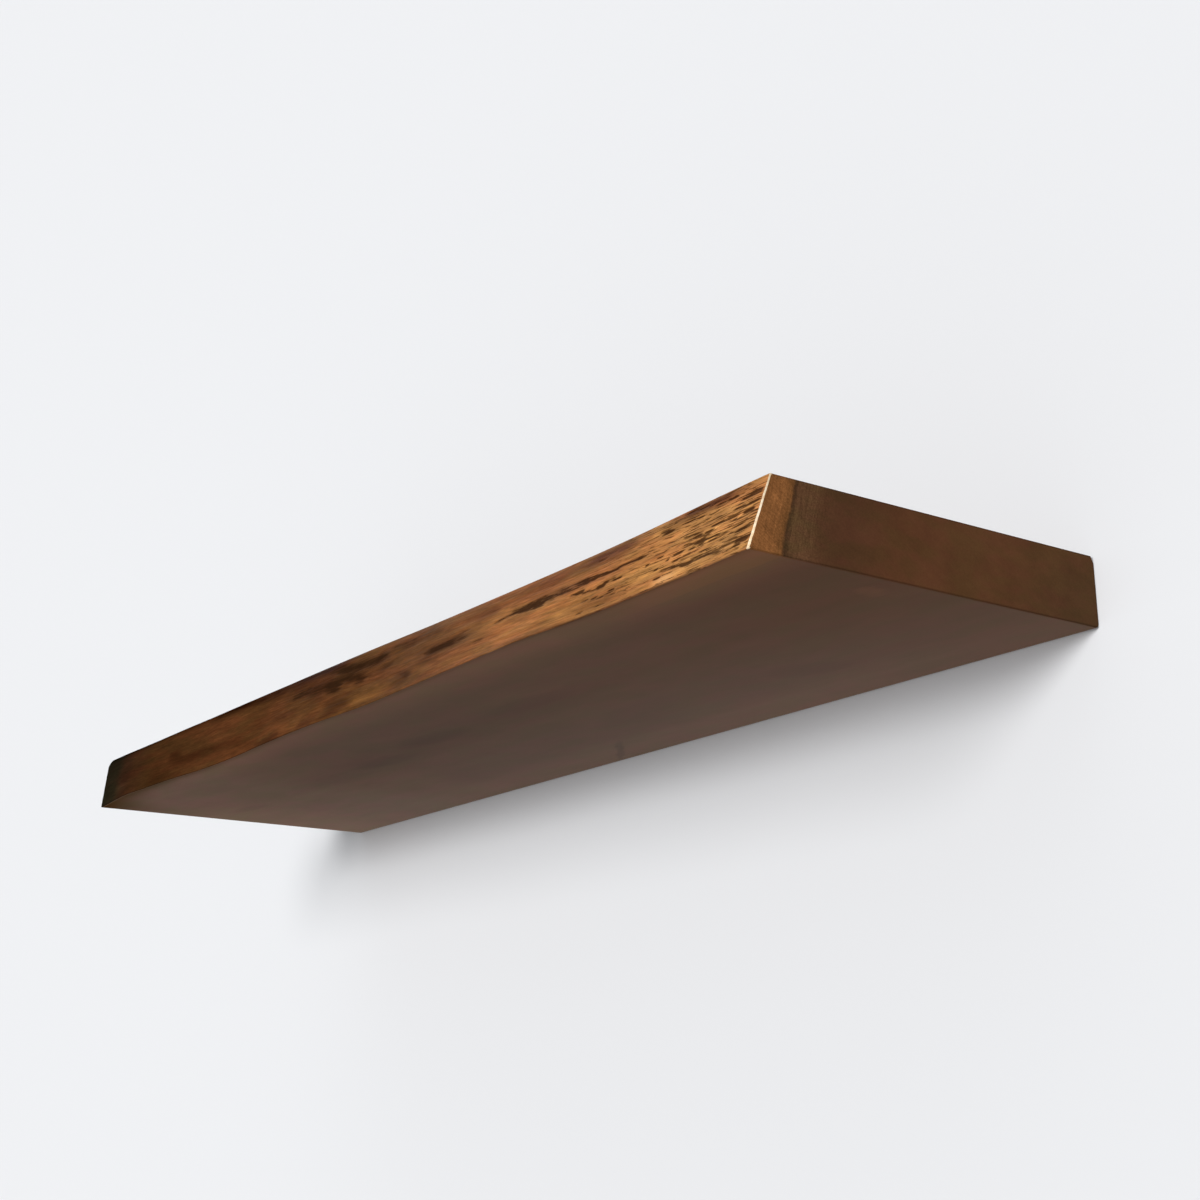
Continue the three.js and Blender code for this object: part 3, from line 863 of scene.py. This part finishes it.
def make_plug(number, x, nylon):
    low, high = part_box("wall_plug_%d" % number)
    start, end, fin_top = low.y, high.y, (high.z - low.z) / 2
    inner = SCREW_RADIUS + SEAT_GAP
    outer = inner + PLUG_WALL
    fin_edge, fin_corner = PLUG_FIN_HALF_WIDTH / outer, PLUG_FIN_HALF_WIDTH / fin_top
    half = [0, PLUG_SLOT_TURN, *PLUG_TURNS]
    half += [math.pi / 2 - fin_edge, math.pi / 2 - fin_corner, math.pi / 2]
    half += [math.pi - a for a in reversed(half[:-1])]
    angles = np.array(half[:-1] + [math.pi + a for a in half[:-1]])
    on_fin = np.abs(angles % math.pi - math.pi / 2) < fin_corner + TURN_HAIR
    in_slot = np.minimum(angles % math.pi, math.pi - angles % math.pi) < PLUG_SLOT_TURN + TURN_HAIR
    pitch = (end - start) / (PLUG_BARBS + 1)
    fin_start = start + pitch / 2
    fin_end = fin_start + (end - start) / 2
    slot_start = start + PLUG_SLOT_START_SHARE * pitch
    barbs = plug_barbs(start, end, pitch)
    steps = {y + step for y in (fin_start, fin_end, slot_start) for step in (0, PLUG_STEP)}
    rows = [(start, inner)]
    for y in sorted({end - PLUG_TIP, *steps, *barbs}):
        share = np.interp(y, list(barbs), list(barbs.values()))
        radius = np.full(len(angles), outer - share * PLUG_BARB_DEPTH)
        radius[on_fin & (fin_start < y < fin_end + PLUG_STEP)] = fin_top
        radius[in_slot & (y > slot_start)] = inner + PLUG_SLOT_WEB
        rows.append((y, radius))
    rows.append((end, inner))
    mesh = turned("plug", rows, angles, x, closed=True)
    plug = new_object("nylon_plug_%d" % number, mesh, nylon)
    place_in_bracket(plug, "wall_plug_%d" % number, PLUG_SHARP_ANGLE)


# The wood. Its rings run round a heart that lies below the board and behind the wall.
HEART_Y = 20
HEART_Z = -60
RING_WIDTH = 3.4
SAPWOOD_RADIUS = 265
HEARTWOOD = (0.146, 0.070, 0.040, 1)
HEARTWOOD_DARK = (0.124, 0.058, 0.033, 1)
BOUNDARY = (0.190, 0.082, 0.026, 1)
SAPWOOD = (0.315, 0.126, 0.040, 1)
END_TONES = (
    (0.20, (0.106, 0.050, 0.022)), (0.45, (0.134, 0.058, 0.024)),
    (0.70, (0.130, 0.055, 0.023)), (0.84, (0.112, 0.048, 0.022)),
    (0.91, (0.114, 0.052, 0.023)), (0.96, (0.152, 0.076, 0.033)),
)
CLOUD_OLIVE = (0.94, 1.0, 0.94, 1)
CLOUD_PURPLE = (1.04, 0.96, 1.03, 1)

# The underside's tint from the left end to the right one: partly the wood's own tone, partly painted
# light and painted reflection that lighten and grey it. The painted highlight along its front edge,
# painted bounce light by the wall, and the tint of the darkening along its front edge
UNDER_GAIN = 2.4
UNDER_TINTS = (
    (0.0, (0.756, 0.946, 1.0)), (0.085, (0.697, 0.81, 0.90)),
    (0.17, (0.582, 0.706, 0.741)), (0.28, (0.475, 0.52, 0.506)),
    (0.36, (0.412, 0.433, 0.416)), (0.5, (0.402, 0.43, 0.40)),
    (0.75, (0.442, 0.458, 0.417)), (1.0, (0.44, 0.42, 0.322)),
)
UNDER_RIM_HIGHLIGHT = 0.55
WALL_BOUNCE_LIGHT = 0.22
RIM_TINT = (0.68, 0.78, 1.0)

# Soft dark places in the wood: X, Y, half lengths in millimetres, turn in degrees, and how dark.
# Below zero it is lighter.
SPOTS = (
    ((-60, -160), (240, 26), 0, 0.10),
    ((-126, -154), (38, 11), 4, 0.16),
    ((-30, -166), (38, 12), 4, 0.20),
    ((103, -170), (45, 11), 0, 0.10),
    ((-200, -150), (60, 14), 0, 0.08),
    ((-390, -151), (30, 6), 8, 0.10),
    ((130, -94), (48, 15), -12, 0.07),
    ((286, -77), (28, 14), 20, 0.10),
    ((437, -163), (7, 10), 0, -0.20),
    ((11, -24), (34, 3), -37, 0.30),
    ((-452, -96), (70, 90), 0, -0.16),
)

# How far noise bends the spots' outlines. Its mean, which is half of this, moves them as a whole.
SPOT_BEND = (14, 10, 14)


def hardwood_material():
    s = Shader("hardwood")
    place = s.place()
    x, y, z = s.parts(place)
    normal = s.parts(s.node("NewGeometry", {}).outputs["Normal"])
    on_end = s.step(s.math("ABSOLUTE", normal[0]), 0.5, 0.9)
    below = s.step(normal[2], -0.9, -0.5, 1, 0)
    calm = s.scaled(below, -0.9, 1.0)

    # Growth rings, fibres, pores and rays
    out, down = s.less(y, HEART_Y), s.less(z, HEART_Z)
    wander = s.noise(place, (260, 90, 90), 2)
    flat_radius = s.math("SQRT", s.plus(s.product(out, out), s.product(down, down)))
    radius = s.scaled(wander, 16, s.less(flat_radius, 8))
    bend = s.noise(place, (120, 26, 26), 1)
    ring = s.math("FRACT", s.math("DIVIDE", s.scaled(bend, 7, radius), RING_WIDTH))
    late = s.product(s.step(ring, 0.45, 0.93), s.step(ring, 0.95, 1.0, 1, 0))
    figure = s.noise(place, (170, 17, 17), 3, 0.55)
    cloud = s.noise(place, (45, 22, 15), 3, 0.6)
    tint_cloud = s.noise(place, (60, 26, 11), 2, 0.6)
    fibre = s.noise(place, (48, 1.1, 1.1), 3, 0.6)
    fine = s.noise(place, (16, 0.45, 0.45), 2, 0.6)
    speckle = s.noise(place, (3, 1.0, 0.9), 2, 0.7)
    pore_cells = {"Vector": s.cells(place, (7, 0.7, 0.7)), "Scale": 1.0}
    pores = s.step(s.node("TexVoronoi", pore_cells).outputs["Distance"], 0.1, 0.28, 1, 0)
    ray_place = s.node("CombineXYZ", {0: s.scaled(y, 0.7, z), 1: y, 2: x}).outputs[0]
    rays = s.noise(ray_place, (1, 16, 30), 3, 0.6)

    # Sapwood, with a line and an amber band where it starts
    ragged = s.scaled(s.noise(place, (40, 4, 6), 3, 0.6), 4, radius)
    sap_edge = s.less(ragged, 2.0)
    sap = s.step(sap_edge, SAPWOOD_RADIUS - 0.2, SAPWOOD_RADIUS + 3.0)
    line = s.product(s.step(sap_edge, SAPWOOD_RADIUS - 2.6, SAPWOOD_RADIUS - 0.4),
                     s.step(sap_edge, SAPWOOD_RADIUS + 0.2, SAPWOOD_RADIUS + 2.4, 1, 0))
    amber = s.product(sap, s.step(sap_edge, SAPWOOD_RADIUS + 2, SAPWOOD_RADIUS + 9, 1, 0))
    band = s.math("MAXIMUM", on_end, s.step(x, 270, 410, 0.0, 0.08))

    # Colour
    figured = s.scaled(s.less(s.step(figure, 0.35, 0.68), 0.5), calm, 0.5)
    colour = s.mix(figured, HEARTWOOD_DARK, HEARTWOOD)
    colour = s.mix(on_end, colour, s.ramp(s.math("DIVIDE", radius, SAPWOOD_RADIUS), END_TONES))
    clouds = s.mix(s.step(tint_cloud, 0.35, 0.65), CLOUD_OLIVE, CLOUD_PURPLE)
    colour = s.vector("MULTIPLY", colour, clouds)
    colour = s.mix(s.product(sap, band), colour, SAPWOOD)
    colour = s.mix(s.product(amber, band, 0.6), colour, BOUNDARY)
    # The underside's colour, lightened and greyed as painted light and painted reflection
    tint = s.tinted(s.ramp(s.scaled(x, MM / LENGTH, 0.5), UNDER_TINTS), UNDER_GAIN)
    colour = s.mix(below, colour, s.vector("MULTIPLY", colour, tint))
    shadow = s.attribute("shade")
    shaded = s.vector("SUBTRACT", WHITE, s.tinted(RIM_TINT, shadow))
    colour = s.vector("MULTIPLY", colour, shaded)

    # Light and dark places
    bending = s.noise(place, (30, 9, 9), 2, output="Color")
    bent = s.parts(s.vector("ADD", place, s.vector("MULTIPLY", bending, SPOT_BEND)))
    # Painted highlight along the underside's front edge, and painted bounce light from the wall near
    # its back
    front_highlight = s.product(s.step(y, -262, -214, UNDER_RIM_HIGHLIGHT, 0), s.step(x, -350, -190, 0.15, 1),
                    s.step(x, 300, 400, 1, 1.4))
    wall_bounce = s.product(s.step(y, -64, -22, 0, WALL_BOUNCE_LIGHT), s.step(x, -330, -120),
                     s.step(x, 200, 420, 1, 0.3))
    clouded = s.eased(s.swing(cloud, 0.14), s.scaled(on_end, 0.6, 0.4))
    shade = s.product(clouded, s.scaled(s.plus(front_highlight, wall_bounce), below, 1.0))
    spots = []
    for centre, half, turn, dark in SPOTS:
        moved = [at + reach / 2 for at, reach in zip(centre, SPOT_BEND)]
        away = s.blot(bent[0], bent[1], moved, half, turn)
        spots.append(s.step(away, 0.0, 1.9, 1 - dark, 1))
    shade = s.product(shade, s.eased(s.product(*spots), below))

    # Grain along the board and on its end
    long_grain = s.product(s.swing(fibre, 0.15), s.swing(fine, 0.11), s.scaled(late, -0.24, 1.0),
                           s.scaled(pores, -0.28, 1.0))
    long_grain = s.eased(long_grain, calm)
    near_sap = s.step(radius, SAPWOOD_RADIUS - 34, SAPWOOD_RADIUS - 12)
    ring_place = s.node("CombineXYZ", {0: radius, 1: z}).outputs[0]
    grooved = s.eased(s.swing(s.noise(ring_place, (1.5, 16, 1), 2), 0.24), near_sap)
    streaked = s.eased(s.swing(rays, 0.24), s.scaled(sap, 0.8, 0.2))
    speckled = s.eased(s.swing(speckle, 0.34), s.scaled(near_sap, 0.7, 0.3))
    end_grain = s.product(streaked, grooved, speckled, s.scaled(line, -0.40, 1.0))
    # Darker along the end's top and bottom edges
    end_edge_band = s.product(s.step(s.math("ABSOLUTE", z), 20.6, 21.7), on_end)
    tone = s.product(s.mix(on_end, long_grain, end_grain), shade, s.scaled(end_edge_band, -0.35, 1.0))

    # Relief and shine
    pitted = s.plus(s.product(fine, 0.35), s.product(pores, -0.5))
    relief = s.plus(s.product(fibre, 0.5), pitted)
    polish = s.product(s.step(figure, 0.3, 0.7, 0.04, -0.04), calm)
    oiled = s.scaled(s.math("MAXIMUM", on_end, below), -0.045, 0.045)
    shine = s.plus(oiled, s.step(x, -LENGTH / MM / 2, 300, 0.010, 0.018))
    s.set(Base_Color=s.tinted(colour, tone), Roughness=s.plus(polish, 0.52),
          Specular_IOR_Level=s.product(shine, s.less(1.0, shadow)),
          Normal=s.bump(s.product(relief, calm), 0.05 * MM, 0.6))
    return s.material


# The live edge's tone from the left end to the right one, before its streaks: the wood's own colour,
# with painted shade that darkens it towards the left end
EDGE_GAIN = 0.79
EDGE_TONES_AND_SHADE = (
    (0.0, (39, 34, 25)), (0.033, (43, 35, 25)), (0.066, (58, 37, 25)),
    (0.09, (68, 42, 26)), (0.13, (75, 47, 26)), (0.20, (82, 51, 29)),
    (0.28, (93, 58, 34)), (0.37, (92, 57, 32)), (0.43, (95, 58, 31)),
    (0.55, (113, 71, 36)), (0.62, (115, 73, 40)), (0.68, (138, 89, 50)),
    (0.745, (163, 106, 59)), (0.81, (175, 116, 66)), (0.90, (182, 123, 71)),
    (0.94, (201, 138, 83)), (1.0, (203, 140, 84)),
)
EDGE_DARK_LEFT = srgb(30, 22, 13)
EDGE_DARK_RIGHT = srgb(50, 26, 9)
# A painted highlight low on the live edge near its right end: its colour, then its place and reach as
# shares of length and height
EDGE_PAINTED_HIGHLIGHT = srgb(238, 176, 114, gain=EDGE_GAIN)
HIGHLIGHT_PLACE = (0.918, 0.09)
HIGHLIGHT_REACH = (0.017, 0.09)
EDGE_OLIVE = (0.94, 1.005, 0.87, 1)
EDGE_RED = (1.07, 0.945, 0.86, 1)
SHADE_TINT = (0.92, 1.0, 1.0)


def live_edge_material():
    s = Shader("live_edge")
    place = s.place()
    x, _, z = s.parts(place)
    along = s.scaled(x, MM / LENGTH, 0.5)
    height = s.scaled(z, MM / THICKNESS, 0.5)
    fibre = s.noise(place, (26, 40, 1.2), 3, 0.6)
    fine = s.noise(place, (8, 40, 0.42), 2, 0.6)
    frayed = s.noise(place, (20, 40, 1.3), 3, 0.62)
    blotch = s.noise(place, (36, 60, 5), 3, 0.6)
    drift = s.noise(place, (55, 60, 9), 3, 0.6)
    grain = s.noise(place, (11, 40, 1.0), 3, 0.65)
    crisp = s.step(along, 0.62, 0.82)

    # Tone, streaks, soft shading, painted shade and a painted highlight
    # The tone's darkening towards the left end is partly painted shade.
    base = s.ramp(along, [(position, srgb(*tone, gain=EDGE_GAIN)) for position, tone in EDGE_TONES_AND_SHADE])
    base = s.vector("MULTIPLY", base, s.mix(s.step(drift, 0.36, 0.64), EDGE_OLIVE, EDGE_RED))
    coarse = s.product(s.swing(fibre, 0.27), s.swing(grain, 0.28))
    coarse = s.eased(coarse, s.step(along, 0.1, 0.8, 0.5, 1.0))
    patchy = s.eased(s.swing(blotch, 0.34), s.step(along, 0.3, 0.6, 0.6, 1.0))
    tone = s.product(coarse, s.swing(fine, 0.20), patchy)
    # Brown patches in the wood, painted shade along the top edge, and painted highlight where the value
    # is below zero
    shade = s.attribute("shade")
    shade = s.product(shade, s.step(blotch, 0.25, 0.6, 0.75, 1.35))
    shaded = s.vector("SUBTRACT", WHITE, s.tinted(SHADE_TINT, s.math("MINIMUM", shade, 0.85)))
    colour = s.vector("MULTIPLY", s.tinted(base, tone), shaded)
    # Painted highlight: a bright patch low near the right end, where light glints off the wood
    highlight_x, highlight_z = [s.math("ABSOLUTE", s.less(share, at)) for share, at in
                      zip((along, height), HIGHLIGHT_PLACE)]
    glow = s.product(s.step(highlight_x, 0.0, HIGHLIGHT_REACH[0], 1, 0), s.step(highlight_z, 0.0, HIGHLIGHT_REACH[1], 1, 0),
                     s.step(fibre, 0.25, 0.55))
    colour = s.mix(glow, colour, EDGE_PAINTED_HIGHLIGHT)

    # Dark marks, frayed by the fibres, and fine dashes near the right end
    depth = s.attribute("dark")
    near = s.step(depth, 0.0, 0.3)
    rough = s.product(s.less(frayed, 0.5), s.scaled(crisp, -0.8, 1.8), near)
    thin = s.product(s.less(grain, 0.5), s.scaled(crisp, 0.9, 1.0), near)
    marked = s.plus(depth, s.plus(rough, thin))
    dark = s.step(marked, s.scaled(crisp, 0.20, 0.12), s.scaled(crisp, -0.47, 1.35))
    specks = s.noise(place, (12, 40, 0.75), 2, 0.6)
    specks = s.scaled(s.step(height, 0.4, 0.8), 0.02, specks)
    dense = s.product(s.step(along, 0.89, 0.935), s.step(height, 0.1, 0.2),
                      s.step(height, 0.5, 0.68, 1, 0))
    sparse = s.scaled(dense, 0.04, specks)
    dashes = s.product(s.step(sparse, 0.57, 0.63), s.step(along, 0.76, 0.93), 0.8)
    dark = s.math("MAXIMUM", s.product(dark, s.step(fine, 0.2, 0.6, 0.78, 0.95)), dashes)
    colour = s.mix(dark, colour, s.mix(along, EDGE_DARK_LEFT, EDGE_DARK_RIGHT))
    sunk = s.plus(s.product(fine, 0.4), s.product(dark, -0.8))
    relief = s.plus(s.product(fibre, 0.6), sunk)
    shine = s.product(s.step(along, 0.3, 0.9, 0.0, 0.035), s.step(dark, 0.0, 1.0, 1, 0.15))
    s.set(Base_Color=colour, Roughness=s.step(fibre, 0.3, 0.7, 0.52, 0.42), Specular_IOR_Level=shine,
          Normal=s.bump(relief, 0.12 * MM, 0.8))
    return s.material


def corner_highlight_material():
    """The front corner's chamfer, painted pale as a highlight and polished."""
    s = Shader("painted_highlight_corner")
    place = s.place()
    fibre = s.noise(place, (8, 8, 1.6), 3, 0.6)
    # The pale colour is a painted highlight for light glinting off the chamfer. It grows dimmer towards
    # the top.
    colour = s.mix(s.step(fibre, 0.35, 0.6), srgb(232, 195, 145), srgb(250, 228, 190))
    height = s.parts(place)[2]
    s.set(Base_Color=s.tinted(colour, s.step(height, -16, 4, 0.93, 0.75)), Roughness=0.35,
          Specular_IOR_Level=0.30)
    return s.material


def coated_material(name, grain):
    """Black powder coat, with the orange peel that such a coat has."""
    s = Shader(name, Base_Color=(0.019, 0.020, 0.022, 1), Specular_IOR_Level=0.5)
    peel = s.noise(s.place(), (grain, grain, grain), 2, 0.5)
    scuff = s.noise(s.place(), (14, 14, 14), 3, 0.6)
    s.set(Roughness=s.step(scuff, 0.3, 0.7, 0.36, 0.50), Normal=s.bump(peel, 0.08 * MM, 0.6))
    return s.material


def zinc_material():
    s = Shader("zinc", Metallic=1.0)
    cloud = s.noise(s.place(), (3, 3, 3), 3, 0.6)
    s.set(Base_Color=s.mix(cloud, (0.60, 0.60, 0.57, 1), (0.76, 0.75, 0.72, 1)),
          Roughness=s.step(cloud, 0.3, 0.7, 0.26, 0.38))
    return s.material


def nylon_material():
    s = Shader("nylon", Specular_IOR_Level=0.45)
    cloud = s.noise(s.place(), (5, 5, 5), 2, 0.5)
    s.set(Base_Color=s.mix(cloud, (0.255, 0.265, 0.275, 1), (0.29, 0.30, 0.31, 1)),
          Roughness=0.48, Normal=s.bump(cloud, 0.03 * MM, 0.4))
    return s.material


def make_bracket():
    steel, bead = coated_material("powder_coat", 0.9), coated_material("coated_weld", 0.6)
    zinc, nylon = zinc_material(), nylon_material()
    make_bar(steel)
    for number, x in enumerate(rod_places, 1):
        make_rod(number, x, steel)
        make_weld(number, x, bead)
    for number, x in enumerate(screw_places, 1):
        make_screw(number, x, zinc)
        make_plug(number, x, nylon)


make_camera()
make_stage()
make_light()
make_board(hardwood_material(), live_edge_material(), corner_highlight_material())
make_bracket()
bpy.context.scene.view_settings.view_transform = "Standard"
